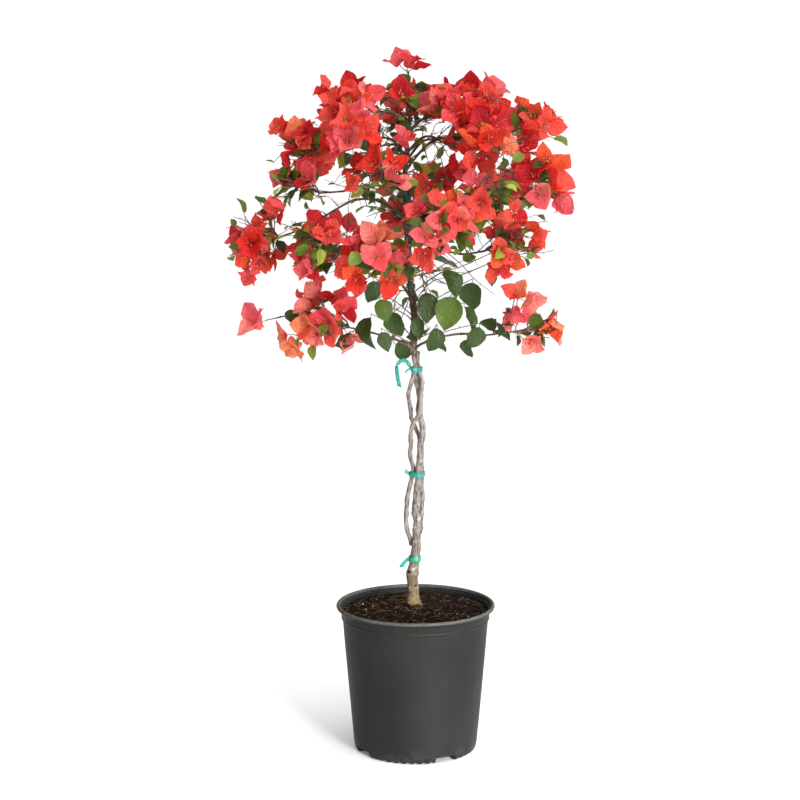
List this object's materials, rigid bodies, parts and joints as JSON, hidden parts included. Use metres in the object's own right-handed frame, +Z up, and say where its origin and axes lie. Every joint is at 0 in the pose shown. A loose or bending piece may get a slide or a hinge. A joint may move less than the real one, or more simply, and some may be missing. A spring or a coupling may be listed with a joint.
{
  "type": "potted bougainvillea tree",
  "caption": "Flowering bougainvillea trained as a small tree: twisted stems tied together, an open dome of papery coral bracts and green leaves, in a round nursery pot.",
  "frame": {"origin": "centre of the pot's flat underside, where it stands on the ground", "axes": "+Z up along the trunk, +X to the plant's right seen from its front, +Y towards its back"},
  "size_m": [0.5771, 0.4556, 1.2002],
  "materials": {
    "pot_plastic": "charcoal moulded plastic with a faint sheen",
    "potting_mix": "damp dark potting mix of bark chips",
    "bark": "pale grey-tan bark, rough and a little fissured",
    "bracts": "thin papery coral-red bracts with fine veins",
    "leaves": "smooth green leaves, slightly glossy above",
    "tie_tape": "teal stretch tape, satin"
  },
  "bodies": {
    "root": {"pot": "pot_plastic", "soil": "potting_mix", "trunk": "bark", "stem_right": "bark", "stem_left": "bark", "bough_top_left": "bark", "bough_top_right": "bark", "bough_upper_left": "bark", "bough_upper_left_front": "bark", "bough_upper_right_front": "bark", "bough_upper_right": "bark", "bough_right_edge": "bark", "bough_mid_right": "bark", "bough_front_centre": "bark", "bough_front_left_low": "bark", "bough_left_mid": "bark", "bough_left_edge": "bark", "bough_left_upper_mid": "bark", "bough_centre_upper": "bark", "bough_right_mid": "bark", "bough_low_left": "bark", "bough_low_right": "bark", "bough_back_top": "bark", "bough_back_left": "bark", "bough_back_right": "bark", "bough_back_mid_right": "bark", "bough_back_centre": "bark", "bough_back_low_left": "bark", "foliage_crown_top": "bracts", "foliage_top_left": "bracts", "foliage_top_right": "bracts", "foliage_upper_left": "bracts", "foliage_upper_left_front": "bracts", "foliage_upper_right_front": "bracts", "foliage_upper_right": "bracts", "foliage_right_edge": "bracts", "foliage_mid_right": "bracts", "foliage_front_centre": "bracts", "foliage_front_left_low": "bracts", "foliage_left_mid": "bracts", "foliage_left_edge": "bracts", "foliage_left_upper_mid": "bracts", "foliage_centre_upper": "bracts", "foliage_right_mid": "bracts", "foliage_low_leaves": "leaves", "foliage_low_leaves_back": "leaves", "foliage_low_left": "bracts", "foliage_low_right": "bracts", "foliage_back_top": "bracts", "foliage_back_left": "bracts", "foliage_back_right": "bracts", "foliage_back_mid_right": "bracts", "foliage_back_centre": "bracts", "foliage_back_low_left": "bracts", "tie_1": "tie_tape", "tie_2": "tie_tape", "tie_3": "tie_tape", "tie_4": "tie_tape", "tie_5": "tie_tape"}
  },
  "joints": []
}
